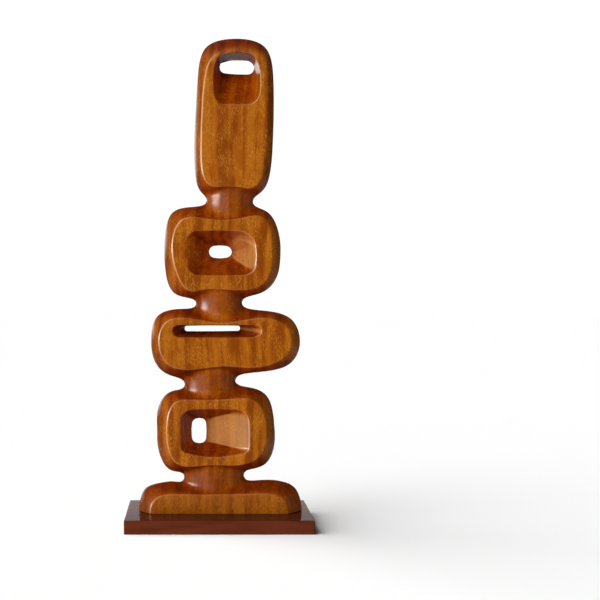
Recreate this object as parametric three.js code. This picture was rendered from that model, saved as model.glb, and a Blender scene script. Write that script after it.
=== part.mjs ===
// Carved wooden totem of five stacked forms, standing on a thin rectangular board.
// Millimetres. X runs to the viewer's right, Y to the back and Z up.
// The origin is the middle of the board's underside.
//
// The totem is cut from one thick plank. Every form keeps the plank's two flat faces, each ringed
// by a crisp arris. From the arris the wood rounds back to the form's outline, which lies half-way
// through the plank, or runs in as a cove to the waist of a neck. Windows in the flat faces taper
// to the holes that go through.

import * as THREE from 'three';
import { NURBSCurve } from 'three/addons/curves/NURBSCurve.js';
import { mergeVertices } from 'three/addons/utils/BufferGeometryUtils.js';

// Driving dimensions

const board = { width: 265, depth: 200, height: 19, cornerRadius: 2 };
const plankThickness = 76;
const throatShare = 0.73;           // how far into the plank a window is at its narrowest
const gentleBow = [0.5, 0.5, 0.5, 0.5];
const waistGrip = 9;                // straight run of an outline on each side of a waist
const crownGrip = 12;               // straight run of an outline on each side of the crown
const cornerBlend = 26;             // outline length over which a side turns into a cove

// How the wood leaves the arris: its slope below the flat face, and how far the curve keeps its
// direction at the arris and at its other end, as shares of the way it goes in that direction.
const sideRound = { slope: 50, hold: 0.38, settle: 0.44 };
const coveAbove = { slope: 74, hold: 0.45, settle: 0.38 };
const coveBelow = { slope: 88, hold: 0.62, settle: 0.42 };

// Resolution

const steps = { side: 20, headSide: 30, baseSide: 13, neck: 12, corner: 5, edge: 4 };
const roundRows = [0, 0.2, 0.44, 0.7, 1];
const windowRows = [0, 0.25, 0.6, 1];

// Necks, from the top one down: the two ends of the waist seen from the front, [x, z], how far
// the waist reaches to the front and to the back, and how far it sags there below its ends.

const necks = {
  underHead: { left: [-16.7, 469], right: [50.6, 468], halfDepth: 29, sag: 6 },
  underUpperFrame: { left: [-32, 320], right: [34.5, 321], halfDepth: 29, sag: 6 },
  underBar: { left: [-48.5, 202], right: [25, 208], halfDepth: 29, sag: 6 },
  underLowerFrame: { left: [-49.5, 67.5], right: [37.3, 70.5], halfDepth: 30, sag: 6 },
};

// Forms, from the top one down. The side points steer the outline from the lower neck up to the
// upper one. The arris points steer the edge of the flat face, clockwise from its lower left.
// A window is its rim in the front face, its throat and its rim in the back face. Its corners are
// the [width, height] of their rounding: upper left, upper right, lower right, lower left. Its bows
// are how far the sides swell between the corners: top, right, bottom, left. Lifts are how far the
// throat's corners are raised. Half-way from the rim to the throat, creasing is how much of the
// rounding is lost, strays are how far the corners lie off the straight way, and swells are what
// the bows gain.

const forms = [
  {
    lowerNeck: necks.underHead,
    crown: [25, 704.4],
    leftSide: [[-36, 478], [-35, 572], [-33, 597], [-30, 653], [-24, 701]],
    rightSide: [[76, 478], [80, 562], [81, 596], [81, 650], [75, 701]],
    arris: [
      [-25, 478], [-25, 552], [-24, 591], [-19, 669], [6, 687],
      [73, 691], [69, 610], [71, 600], [66, 472], [24, 493],
    ],
    window: {
      creasing: 0.35,
      strays: [[0, 0], [0, 0], [0, 0], [0, 0]],
      swells: [0, 0, 0, 0],
      lifts: [0, -0.8, -1.3, 1.3],
      rim: {
        left: -7.3, right: 59.6, bottom: 604, top: 678.5,
        corners: [[17, 30], [19, 38], [17, 23], [15, 22]],
        bows: gentleBow,
      },
      throat: {
        left: 3, right: 52.6, bottom: 656.7, top: 677.5,
        corners: [[11, 10], [15, 11], [10, 9], [8, 7]],
        bows: gentleBow,
      },
      back: {
        left: -2, right: 57, bottom: 650, top: 679,
        corners: [[14, 14], [14, 14], [14, 14], [14, 14]],
        bows: gentleBow,
      },
    },
  },
  {
    upperNeck: necks.underHead,
    lowerNeck: necks.underUpperFrame,
    leftSide: [[-70, 324], [-78, 372], [-79, 398], [-76, 448], [-54, 462]],
    rightSide: [[65, 330], [89, 357], [91, 392], [91, 417], [77, 459]],
    arris: [
      [-48, 329], [-72, 392], [-59, 449], [-14, 439], [27, 438],
      [72, 454], [78, 396], [74, 346], [32, 336], [-21, 344],
    ],
    window: {
      creasing: 0.75,
      strays: [[0, 0], [-11, 0], [-2, 2.5], [0, 0]],
      swells: [0, 6, 0, 0],
      lifts: [0, 0, 0, 0],
      rim: {
        left: -45.5, right: 53.4, bottom: 360, top: 424,
        corners: [[19, 14], [29, 25], [19, 17], [23, 15]],
        bows: gentleBow,
      },
      throat: {
        left: -12.7, right: 19.9, bottom: 386.6, top: 404.1,
        corners: [[9, 8], [10.5, 8], [10.5, 8], [9, 8]],
        bows: gentleBow,
      },
      back: {
        left: -21, right: 28, bottom: 379, top: 412,
        corners: [[14, 13], [14, 13], [14, 13], [14, 13]],
        bows: gentleBow,
      },
    },
  },
  {
    upperNeck: necks.underUpperFrame,
    lowerNeck: necks.underBar,
    leftSide: [[-78, 213], [-97, 239], [-98, 272], [-94, 305], [-59, 314]],
    rightSide: [[59, 220], [106, 225], [124, 260], [111, 304], [65, 310]],
    arris: [
      [-88, 236], [-86, 301], [-35, 299], [10, 288], [61, 303],
      [107, 291], [105, 239], [49, 225], [5, 233], [-47, 220],
    ],
    window: {
      creasing: 0,
      strays: [[0, 0], [0, 0], [0, 0], [0, 0]],
      swells: [0, 0, 0, 0],
      lifts: [-0.2, 0, 0.5, 0],
      rim: {
        left: -66.6, right: 61.6, bottom: 271.5, top: 289,
        corners: [[10, 8.5], [14, 8.5], [17, 8], [12, 8.5]],
        bows: [0.3, 0.1, 0.3, 0.1],
      },
      throat: {
        left: -48.7, right: 32.4, bottom: 279, top: 287,
        corners: [[4, 3.2], [4, 3.2], [4, 3.2], [4, 3.2]],
        bows: [0.3, 0.1, 0.3, 0.1],
      },
      back: {
        left: -55, right: 40, bottom: 275, top: 289,
        corners: [[8, 6.5], [8, 6.5], [8, 6.5], [8, 6.5]],
        bows: [0.3, 0.1, 0.3, 0.1],
      },
    },
  },
  {
    upperNeck: necks.underBar,
    lowerNeck: necks.underLowerFrame,
    leftSide: [[-75, 70], [-90, 112], [-88, 134], [-91, 165], [-74, 197]],
    rightSide: [[70, 77], [84, 113], [82, 142], [78, 182], [56, 199]],
    arris: [
      [-60, 81], [-77, 118], [-72, 182], [-40, 182], [5, 181],
      [57, 188], [70, 151], [68, 100], [29, 85], [-13, 91],
    ],
    window: {
      creasing: 0.85,
      strays: [[0, 0], [-2, 0], [0, 2.5], [0, 0]],
      swells: [0, 0, 0, 0],
      lifts: [0, 0, 0, 0],
      rim: {
        left: -54.5, right: 44, bottom: 105.5, top: 168.5,
        corners: [[21, 16], [19, 21], [10, 9], [13, 11]],
        bows: [0.5, 0.5, 5.3, 0.5],
      },
      throat: {
        left: -38.1, right: -17.5, bottom: 115.2, top: 150.8,
        corners: [[8, 9], [7, 8], [7, 8], [8, 9]],
        bows: gentleBow,
      },
      back: {
        left: -45, right: -10, bottom: 107, top: 158,
        corners: [[14, 14], [14, 14], [14, 14], [14, 14]],
        bows: gentleBow,
      },
    },
  },
  {
    upperNeck: necks.underLowerFrame,
    ground: [-115, 121.5],
    leftSide: [[-112, 40], [-106, 54], [-80, 59], [-66, 61]],
    rightSide: [[117, 45], [108, 58], [76, 64], [56, 61]],
    arris: [
      [-98, 19], [-97, 34], [-87, 48], [-44, 46], [21, 47],
      [49, 47], [92, 48], [99, 33], [100, 19],
    ],
  },
];

// Curves

const halfPlank = plankThickness / 2;
const up = new THREE.Vector3(0, 0, 1);
const inward = new THREE.Vector3(0, 1, 0);

const inFacePlane = ([x, z]) => new THREE.Vector3(x, 0, z);

// Smooth curve that starts and ends on its end points.
function openCurve(points) {
  const spans = points.length - 3;
  const knots = [0, 0, 0];
  for (let i = 0; i <= spans; i++) knots.push(i / spans);
  knots.push(1, 1, 1);
  return new NURBSCurve(3, knots, points);
}

// Smooth closed curve.
function closedCurve(points) {
  const wrapped = [...points, ...points.slice(0, 3)];
  const knots = wrapped.map((_, i) => i);
  for (let i = 0; i < 4; i++) knots.push(wrapped.length + i);
  return new NURBSCurve(3, knots, wrapped, 3, points.length + 3);
}

function nearestShare(curve, target) {
  const samples = 800;
  let best = 0;
  let bestDistance = Infinity;
  for (let i = 0; i <= samples; i++) {
    const distance = curve.getPointAt(i / samples).distanceTo(target);
    if (distance < bestDistance) {
      bestDistance = distance;
      best = i / samples;
    }
  }
  return best;
}

// Places and directions along a stretch of a curve, evenly spaced. The stretch may pass the seam.
function sampleStretch(curve, from, to, count) {
  const end = to < from ? to + 1 : to;
  const samples = [];
  for (let i = 0; i <= count; i++) {
    let share = THREE.MathUtils.lerp(from, end, i / count);
    if (share > 1) share -= 1;
    samples.push({ point: curve.getPointAt(share), tangent: curve.getTangentAt(share) });
  }
  return samples;
}

// Outline of one side of a form, from its lower end to its upper end.
function sideCurve(form, side) {
  const away = side === 'left' ? -1 : 1;
  const points = form[`${side}Side`].map(inFacePlane);
  let start;
  if (form.ground) start = new THREE.Vector3(form.ground[side === 'left' ? 0 : 1], 0, board.height);
  else start = inFacePlane(form.lowerNeck[side]);
  const end = inFacePlane(form.crown ?? form.upperNeck[side]);
  const beforeEnd = form.crown
    ? end.clone().add(new THREE.Vector3(away * crownGrip, 0, 0))
    : end.clone().addScaledVector(up, -waistGrip);
  return openCurve([start, start.clone().addScaledVector(up, waistGrip), ...points, beforeEnd, end]);
}

// Surface of a form between its arris and its outline, in columns that run clockwise

const mixShape = (side, cove, share) => ({
  slope: THREE.MathUtils.lerp(side.slope, cove.slope, share),
  hold: THREE.MathUtils.lerp(side.hold, cove.hold, share),
  settle: THREE.MathUtils.lerp(side.settle, cove.settle, share),
});

// One column: a curve from the arris, leaving it outwards, to a point that it reaches in the
// given direction.
function column(arris, end, arrival, shape) {
  const slope = THREE.MathUtils.degToRad(shape.slope);
  const outwards = new THREE.Vector3(-arris.tangent.z, 0, arris.tangent.x).normalize();
  const departure = outwards.multiplyScalar(Math.cos(slope)).addScaledVector(inward, Math.sin(slope));
  const start = arris.point.clone().setY(-halfPlank);
  const way = end.clone().sub(start);
  const curve = new THREE.CubicBezierCurve3(
    start,
    start.clone().addScaledVector(departure, shape.hold * way.dot(departure)),
    end.clone().addScaledVector(arrival, -shape.settle * way.dot(arrival)),
    end,
  );
  return roundRows.map((row) => curve.getPoint(row));
}

function sideColumns(form, side, arrisStretch) {
  const curve = sideCurve(form, side);
  const count = arrisStretch.length - 1;
  const length = curve.getLength();
  return arrisStretch.map((arris, i) => {
    const share = side === 'left' ? i / count : 1 - i / count;
    const end = curve.getPointAt(share);
    const along = curve.getTangentAt(share);
    const toLower = form.lowerNeck ? (share * length) / cornerBlend : Infinity;
    const toUpper = form.upperNeck ? ((1 - share) * length) / cornerBlend : Infinity;
    const nearLower = toLower < toUpper;
    const blend = 0.5 * (1 - THREE.MathUtils.smoothstep(Math.min(toLower, toUpper), 0, 1));
    if (nearLower) along.negate();
    const turn = (blend * Math.PI) / 2;
    const arrival = inward.clone().multiplyScalar(Math.cos(turn)).addScaledVector(along, Math.sin(turn));
    return column(arris, end, arrival, mixShape(sideRound, nearLower ? coveBelow : coveAbove, blend));
  });
}

// Columns that end on the front half of a neck's waist. The upper neck of a form is crossed from
// left to right and the lower one from right to left.
function neckColumns(neck, isUpper, arrisStretch) {
  const left = inFacePlane(neck.left);
  const right = inFacePlane(neck.right);
  const count = arrisStretch.length - 1;
  const halfWidth = (right.x - left.x) / 2;
  return arrisStretch.map((arris, i) => {
    const share = isUpper ? i / count : 1 - i / count;
    const angle = share * Math.PI;
    const end = left.clone().lerp(right, (1 - Math.cos(angle)) / 2);
    end.y = -neck.halfDepth * Math.sin(angle);
    end.z -= neck.sag * Math.sin(angle);
    const toLeft = share < 0.5;
    const around = new THREE.Vector3(
      halfWidth * Math.sin(angle), -neck.halfDepth * Math.cos(angle), 0).normalize();
    if (toLeft) around.negate();
    const closeness = 1 - THREE.MathUtils.smoothstep(Math.min(share, 1 - share), 0, 0.4);
    const turn = (closeness * Math.PI) / 4;
    const arrival = up.clone().multiplyScalar(isUpper ? Math.cos(turn) : -Math.cos(turn));
    arrival.addScaledVector(around, Math.sin(turn));
    const cove = isUpper ? coveAbove : coveBelow;
    return column(arris, end, arrival, mixShape(sideRound, cove, 1 - closeness / 2));
  });
}

function formColumns(form) {
  const arrisPoints = form.arris.map(inFacePlane);
  const arris = form.ground ? openCurve(arrisPoints) : closedCurve(arrisPoints);
  const at = (place) => nearestShare(arris, inFacePlane(place));
  const lowerLeft = form.ground ? 0 : at(form.lowerNeck.left);
  const lowerRight = form.ground ? 1 : at(form.lowerNeck.right);
  const upperLeft = at(form.crown ?? form.upperNeck.left);
  const upperRight = at(form.crown ?? form.upperNeck.right);
  const sideCount = form.crown ? steps.headSide : form.ground ? steps.baseSide : steps.side;
  const columns = [];
  const append = (stretch) => columns.push(...(columns.length ? stretch.slice(1) : stretch));
  append(sideColumns(form, 'left', sampleStretch(arris, lowerLeft, upperLeft, sideCount)));
  if (form.upperNeck) {
    append(neckColumns(form.upperNeck, true, sampleStretch(arris, upperLeft, upperRight, steps.neck)));
  }
  append(sideColumns(form, 'right', sampleStretch(arris, upperRight, lowerRight, sideCount)));
  if (form.lowerNeck) {
    append(neckColumns(form.lowerNeck, false, sampleStretch(arris, lowerRight, lowerLeft, steps.neck)));
    columns[columns.length - 1] = columns[0];
  }
  return columns;
}

// Windows

// Rounded outline at one depth, clockwise from the lower end of its left edge.
function windowLoop({ points, corners, bows }, depth) {
  const places = points.map(([x, z]) => new THREE.Vector3(x, depth, z));
  const loop = [];
  places.forEach((place, corner) => {
    const back = places[(corner + 3) % 4].clone().sub(place).normalize();
    const ahead = places[(corner + 1) % 4].clone().sub(place).normalize();
    const [width, height] = corners[corner];
    const [backReach, aheadReach] = corner % 2 ? [width, height] : [height, width];
    const arc = [];
    for (let i = 0; i <= steps.corner; i++) {
      const angle = (i / steps.corner) * Math.PI / 2;
      arc.push(place.clone()
        .addScaledVector(back, backReach * (1 - Math.sin(angle)))
        .addScaledVector(ahead, aheadReach * (1 - Math.cos(angle))));
    }
    if (corner > 0) loop.push(...bowedRun(loop[loop.length - 1], arc[0], bows[corner - 1]));
    loop.push(...arc);
  });
  loop.push(...bowedRun(loop[loop.length - 1], loop[0], bows[3]));
  return loop;
}

// Points between two corners of a window, on a line that bows out of the window.
function bowedRun(from, to, bow) {
  const outwards = new THREE.Vector3(from.z - to.z, 0, to.x - from.x).normalize();
  const run = [];
  for (let i = 1; i < steps.edge; i++) {
    const share = i / steps.edge;
    run.push(from.clone().lerp(to, share).addScaledVector(outwards, 4 * bow * share * (1 - share)));
  }
  return run;
}

const cornerPoints = ({ left, right, bottom, top }) => [
  [left, top], [right, top], [right, bottom], [left, bottom],
];

// Outline of a window on the way from the rim to the throat.
function outlineBetween({ creasing, strays, swells, lifts, rim, throat }, share) {
  const middle = Math.sin(Math.PI * share);
  const mixed = (from, to) => THREE.MathUtils.lerp(from, to, share);
  const mixedPairs = (from, to) => from.map((pair, i) => pair.map((value, k) => mixed(value, to[i][k])));
  const points = mixedPairs(cornerPoints(rim), cornerPoints(throat));
  const corners = mixedPairs(rim.corners, throat.corners);
  return {
    points: points.map(([x, z], i) => [
      x + strays[i][0] * middle,
      z + strays[i][1] * middle + lifts[i] * share,
    ]),
    corners: corners.map((corner) => corner.map((reach) => reach * (1 - creasing * middle))),
    bows: rim.bows.map((bow, i) => mixed(bow, throat.bows[i]) + swells[i] * middle),
  };
}

// Loops from the rim in the front face through the throat to the rim in the back face.
function windowLoops(window) {
  const throatWay = throatShare * plankThickness;
  const loops = windowRows.map(
    (row) => windowLoop(outlineBetween(window, row), row * throatWay - halfPlank));
  const { back } = window;
  loops.push(windowLoop({ points: cornerPoints(back), corners: back.corners, bows: back.bows }, halfPlank));
  return loops;
}

// Solid

const triangles = [];

function addTriangle(a, b, c) {
  triangles.push(a, b, c);
}

// Quads between neighbouring rows of points, facing along (next in row) x (next row).
function addRows(rows, isClosed) {
  for (let j = 0; j + 1 < rows.length; j++) {
    const count = rows[j].length;
    const last = isClosed ? count : count - 1;
    for (let i = 0; i < last; i++) {
      const k = (i + 1) % count;
      addTriangle(rows[j][i], rows[j][k], rows[j + 1][k]);
      addTriangle(rows[j][i], rows[j + 1][k], rows[j + 1][i]);
    }
  }
}

// Flat region between an outer loop and the loops cut out of it, facing along the given direction.
function addFlat(outer, holes, flatten, facing) {
  const all = [outer, ...holes].flat();
  const flatHoles = holes.map((hole) => hole.map(flatten));
  const faces = THREE.ShapeUtils.triangulateShape(outer.map(flatten), flatHoles);
  for (const [a, b, c] of faces) {
    const normal = new THREE.Triangle(all[a], all[b], all[c]).getNormal(new THREE.Vector3());
    if (normal.dot(facing) > 0) addTriangle(all[a], all[b], all[c]);
    else addTriangle(all[a], all[c], all[b]);
  }
}

const toBack = (point) => new THREE.Vector3(point.x, -point.y, point.z);
const seenFromFront = (point) => new THREE.Vector2(point.x, point.z);
const seenFromBelow = (point) => new THREE.Vector2(point.x, point.y);

function addForm(form) {
  const columns = formColumns(form);
  const isClosed = !form.ground;
  const rim = isClosed ? columns.slice(0, -1) : columns;
  const rows = roundRows.map((_, j) => rim.map((points) => points[j]));
  const backRows = rows.map((row) => row.map(toBack)).reverse();
  addRows(rows, isClosed);
  addRows(backRows, isClosed);
  const frontHoles = [];
  const backHoles = [];
  if (form.window) {
    const loops = windowLoops(form.window);
    addRows([...loops].reverse(), true);
    frontHoles.push(loops[0]);
    backHoles.push(loops[loops.length - 1]);
  }
  addFlat(rows[0], frontHoles, seenFromFront, inward.clone().negate());
  addFlat(backRows[backRows.length - 1], backHoles, seenFromFront, inward);
  if (form.ground) {
    const leftEdge = [...columns[0]];
    const rightEdge = [...columns[columns.length - 1]];
    const underside = [
      ...leftEdge, ...leftEdge.slice(0, -1).reverse().map(toBack),
      ...rightEdge.slice(0, -1).map(toBack), ...[...rightEdge].reverse(),
    ];
    addFlat(underside, [], seenFromBelow, up.clone().negate());
  }
}

function totemGeometry() {
  forms.forEach(addForm);
  const geometry = new THREE.BufferGeometry().setFromPoints(triangles);
  return mergeVertices(geometry, 1e-4);
}

function boardGeometry() {
  const { width, depth, height, cornerRadius } = board;
  const x = width / 2;
  const y = depth / 2;
  const outline = new THREE.Shape();
  outline.moveTo(-x + cornerRadius, -y);
  outline.lineTo(x - cornerRadius, -y);
  outline.absarc(x - cornerRadius, -y + cornerRadius, cornerRadius, -Math.PI / 2, 0);
  outline.absarc(x - cornerRadius, y - cornerRadius, cornerRadius, 0, Math.PI / 2);
  outline.absarc(-x + cornerRadius, y - cornerRadius, cornerRadius, Math.PI / 2, Math.PI);
  outline.absarc(-x + cornerRadius, -y + cornerRadius, cornerRadius, Math.PI, 1.5 * Math.PI);
  return new THREE.ExtrudeGeometry(outline, { depth: height, bevelEnabled: false, curveSegments: 4 });
}

// Scene graph

const carvedWood = new THREE.MeshStandardMaterial({ color: 0xa65f1d, roughness: 0.3, metalness: 0 });
const boardWood = new THREE.MeshStandardMaterial({ color: 0x5c2c1a, roughness: 0.2, metalness: 0 });

const sculpture = new THREE.Group();

const totem = new THREE.Mesh(totemGeometry(), carvedWood);
totem.name = 'totem';
sculpture.add(totem);

const plinth = new THREE.Mesh(boardGeometry(), boardWood);
plinth.name = 'plinth';
sculpture.add(plinth);

export default sculpture;
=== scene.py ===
# Carved wooden totem of five stacked forms on a thin rectangular board.
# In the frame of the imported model: X to the viewer's right, Y to the back, Z up.
# The forms are given in millimetres. The camera, the meshes and the lights are in metres.

import math

import bmesh
import bpy
import numpy as np
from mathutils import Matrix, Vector
from mathutils.geometry import delaunay_2d_cdt


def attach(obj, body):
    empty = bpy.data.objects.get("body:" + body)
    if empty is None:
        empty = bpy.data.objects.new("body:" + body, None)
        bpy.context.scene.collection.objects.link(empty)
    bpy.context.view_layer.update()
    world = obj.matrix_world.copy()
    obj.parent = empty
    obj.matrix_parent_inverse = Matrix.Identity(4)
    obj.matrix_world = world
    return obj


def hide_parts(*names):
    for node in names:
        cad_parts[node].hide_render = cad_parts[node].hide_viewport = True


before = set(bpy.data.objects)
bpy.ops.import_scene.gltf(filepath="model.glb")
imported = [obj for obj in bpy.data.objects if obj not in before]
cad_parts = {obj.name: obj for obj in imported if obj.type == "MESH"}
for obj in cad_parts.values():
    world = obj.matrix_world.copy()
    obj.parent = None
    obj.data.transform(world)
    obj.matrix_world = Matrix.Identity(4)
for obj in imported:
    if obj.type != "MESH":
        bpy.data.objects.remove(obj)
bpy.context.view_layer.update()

MM = 0.001

# Camera: a level view, square to the plank, from a little to the left of its middle.

FRAME_PIXELS = 600
SENSOR_WIDTH = 36.0
CAMERA_PLACE = (-35.6 * MM, -2046 * MM, 331.3 * MM)
FOCAL_PIXELS = 1405.2
VANISHING_PIXEL = (193.7, 295.5)
CLIP_END = 50


def add_camera():
    data = bpy.data.cameras.new("camera")
    data.sensor_width = SENSOR_WIDTH
    data.lens = SENSOR_WIDTH * FOCAL_PIXELS / FRAME_PIXELS
    data.shift_x = 0.5 - VANISHING_PIXEL[0] / FRAME_PIXELS
    data.shift_y = VANISHING_PIXEL[1] / FRAME_PIXELS - 0.5
    data.clip_end = CLIP_END
    camera = bpy.data.objects.new("camera", data)
    camera.location = CAMERA_PLACE
    camera.rotation_euler = (math.radians(90), 0, 0)
    bpy.context.scene.collection.objects.link(camera)
    bpy.context.scene.camera = camera


# Sizes of the totem, in millimetres

BOARD_WIDTH = 265.0
BOARD_DEPTH = 200.0
BOARD_HEIGHT = 19.0
BOARD_CORNER = 2.0
PLANK = 76.0
HALF = PLANK / 2
THROAT_SHARE = 0.73
WAIST_GRIP = 9.0
CROWN_GRIP = 12.0
CORNER_BLEND = 26.0
FOOT_ROUNDING = 1.0
FOOT_TOP = BOARD_HEIGHT + FOOT_ROUNDING

# Windows: the four sides bow out, and swell by more halfway to the throat. The four corners stray
# halfway and lift at the throat. Creasing is the share of their rounding that is lost halfway.

GENTLE = (0.5, 0.5, 0.5, 0.5)
SLIGHT = (0.3, 0.1, 0.3, 0.1)
STRAIGHT = ((0, 0), (0, 0), (0, 0), (0, 0))
EVEN = (0, 0, 0, 0)

# Curve from the arris to the outline: its degrees at the arris, and the reach of its two handles.
# The coves run to the neck above a form and to the neck below it.

SIDE_ROUND = (50.0, 0.38, 0.44)
COVE_ABOVE = (74.0, 0.45, 0.38)
COVE_BELOW = (88.0, 0.62, 0.42)

# Necks: the two ends of the waist, its half depth, and how far it sags in front and behind

UNDER_HEAD = dict(left=(-16.7, 469), right=(50.6, 468), half_depth=29, sag=6)
UNDER_UPPER = dict(left=(-32, 320), right=(34.5, 321), half_depth=29, sag=6)
UNDER_BAR = dict(left=(-48.5, 202), right=(25, 208), half_depth=29, sag=6)
UNDER_LOWER = dict(left=(-49.5, 67.5), right=(37.3, 70.5), half_depth=30, sag=6)

FORMS = [
    dict(
        lower_neck=UNDER_HEAD,
        crown=(25, 704.4),
        left=[(-36, 478), (-35, 572), (-33, 597), (-30, 653), (-24, 701)],
        right=[(76, 478), (80, 562), (81, 596), (81, 650), (75, 701)],
        arris=[
            (-25, 478), (-25, 552), (-24, 591), (-19, 669), (6, 687),
            (73, 691), (69, 610), (71, 600), (66, 472), (24, 493),
        ],
        window=dict(
            creasing=0.35, strays=STRAIGHT, swells=EVEN, lifts=(0, -0.8, -1.3, 1.3),
            rim=((-7.3, 59.6, 604, 678.5), ((17, 30), (19, 38), (17, 23), (15, 22)), GENTLE),
            throat=((3, 52.6, 656.7, 677.5), ((11, 10), (15, 11), (10, 9), (8, 7)), GENTLE),
            back=((-2, 57, 650, 679), ((14, 14), (14, 14), (14, 14), (14, 14)), GENTLE),
        ),
    ),
    dict(
        upper_neck=UNDER_HEAD,
        lower_neck=UNDER_UPPER,
        left=[(-70, 324), (-78, 372), (-79, 398), (-76, 448), (-54, 462)],
        right=[(65, 330), (89, 357), (91, 392), (91, 417), (77, 459)],
        arris=[
            (-48, 329), (-72, 392), (-59, 449), (-14, 439), (27, 438),
            (72, 454), (78, 396), (74, 346), (32, 336), (-21, 344),
        ],
        window=dict(
            creasing=0.75, strays=((0, 0), (-11, 0), (-2, 2.5), (0, 0)),
            swells=(0, 6, 0, 0), lifts=EVEN,
            rim=((-45.5, 53.4, 360, 424), ((19, 14), (29, 25), (19, 17), (23, 15)), GENTLE),
            throat=((-12.7, 19.9, 386.6, 404.1), ((9, 8), (10.5, 8), (10.5, 8), (9, 8)), GENTLE),
            back=((-21, 28, 379, 412), ((14, 13), (14, 13), (14, 13), (14, 13)), GENTLE),
        ),
    ),
    dict(
        upper_neck=UNDER_UPPER,
        lower_neck=UNDER_BAR,
        left=[(-78, 213), (-97, 239), (-98, 272), (-94, 305), (-59, 314)],
        right=[(59, 220), (106, 225), (124, 260), (111, 304), (65, 310)],
        arris=[
            (-88, 236), (-86, 301), (-35, 299), (10, 288), (61, 303),
            (107, 291), (105, 239), (49, 225), (5, 233), (-47, 220),
        ],
        window=dict(
            creasing=0.0, strays=STRAIGHT, swells=EVEN, lifts=(-0.2, 0, 0.5, 0),
            rim=((-66.6, 61.6, 271.5, 289), ((10, 8.5), (14, 8.5), (17, 8), (12, 8.5)), SLIGHT),
            throat=((-48.7, 32.4, 279, 287), ((4, 3.2), (4, 3.2), (4, 3.2), (4, 3.2)), SLIGHT),
            back=((-55, 40, 275, 289), ((8, 6.5), (8, 6.5), (8, 6.5), (8, 6.5)), SLIGHT),
        ),
    ),
    dict(
        upper_neck=UNDER_BAR,
        lower_neck=UNDER_LOWER,
        left=[(-75, 70), (-90, 112), (-88, 134), (-91, 165), (-74, 197)],
        right=[(70, 77), (84, 113), (82, 142), (78, 182), (56, 199)],
        arris=[
            (-60, 81), (-77, 118), (-72, 182), (-40, 182), (5, 181),
            (57, 188), (70, 151), (68, 100), (29, 85), (-13, 91),
        ],
        window=dict(
            creasing=0.85, strays=((0, 0), (-2, 0), (0, 2.5), (0, 0)), swells=EVEN, lifts=EVEN,
            rim=((-54.5, 44, 105.5, 168.5), ((21, 16), (19, 21), (10, 9), (13, 11)),
                 (0.5, 0.5, 5.3, 0.5)),
            throat=((-38.1, -17.5, 115.2, 150.8), ((8, 9), (7, 8), (7, 8), (8, 9)), GENTLE),
            back=((-45, -10, 107, 158), ((14, 14), (14, 14), (14, 14), (14, 14)), GENTLE),
        ),
    ),
    dict(
        upper_neck=UNDER_LOWER,
        ground=(-115, 121.5),
        left=[(-112, 40), (-106, 54), (-80, 59), (-66, 61)],
        right=[(117, 45), (108, 58), (76, 64), (56, 61)],
        arris=[
            (-98, FOOT_TOP), (-97, 34), (-87, 48), (-44, 46), (21, 47),
            (49, 47), (92, 48), (99, 33), (100, FOOT_TOP),
        ],
    ),
]

# Fineness and finish of the surfaces: counts, shares, and sizes in millimetres unless the name
# gives another unit

DEGREE = 3
CURVE_SAMPLES = 1500
SIDE_STEPS = 64
HEAD_STEPS = 90
BASE_STEPS = 44
NECK_STEPS = 44
WINDOW_CORNER_STEPS = 14
WINDOW_EDGE_STEPS = 10
BOARD_CORNER_STEPS = 8
BAND_ROWS = 13
WALL_ROWS = 10
BACK_ROWS = 5
FOOT_ROWS = 5
EASING_ROWS = 7
NECK_END_SHARE = 0.4
NECK_END_TURN = math.pi / 4
ARRIS_ROUNDING = 2.0
CROWN_ROUNDING = 6.0
CROWN_HEIGHTS = (658.0, 684.0)
ROUNDING_LIMIT = 0.25
RIM_ROUNDING = 1.6
THROAT_ROUNDING = 0.3
HOLDING = 0.4
FACE_GRID = 7.0
GRID_CLEARANCE = 0.45 * FACE_GRID
BOARD_EASING = 0.7
SHARP_DEGREES = 50
MERGE_METRES = 2e-6
SLIVER_METRES = 1e-7
MESH_TOLERANCE = 1e-7
TINY = 1e-9
FAR_AWAY = 1e9


def bspline(control, closed=False):
    """Dense points of a smooth curve steered by its control points."""
    control = np.array(control, float)
    if closed:
        control = np.vstack([control, control[:DEGREE]])
        knots = np.arange(len(control) + DEGREE + 1, dtype=float)
        first, last = float(DEGREE), float(len(control))
    else:
        first, last = 0.0, float(len(control) - DEGREE)
        knots = np.concatenate([[first] * DEGREE, np.arange(last + 1), [last] * DEGREE])
    t = np.linspace(first, last, CURVE_SAMPLES)
    t[-1] -= TINY
    weights = ((t[:, None] >= knots[:-1]) & (t[:, None] < knots[1:])).astype(float)
    for degree in range(1, DEGREE + 1):
        rise = knots[degree:-1] - knots[:-degree - 1]
        fall = knots[degree + 1:] - knots[1:-degree]
        rising = (t[:, None] - knots[:-degree - 1]) / np.where(rise > 0, rise, 1)
        falling = (knots[degree + 1:] - t[:, None]) / np.where(fall > 0, fall, 1)
        weights = rising * (rise > 0) * weights[:, :-1] + falling * (fall > 0) * weights[:, 1:]
    return weights @ control


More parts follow.
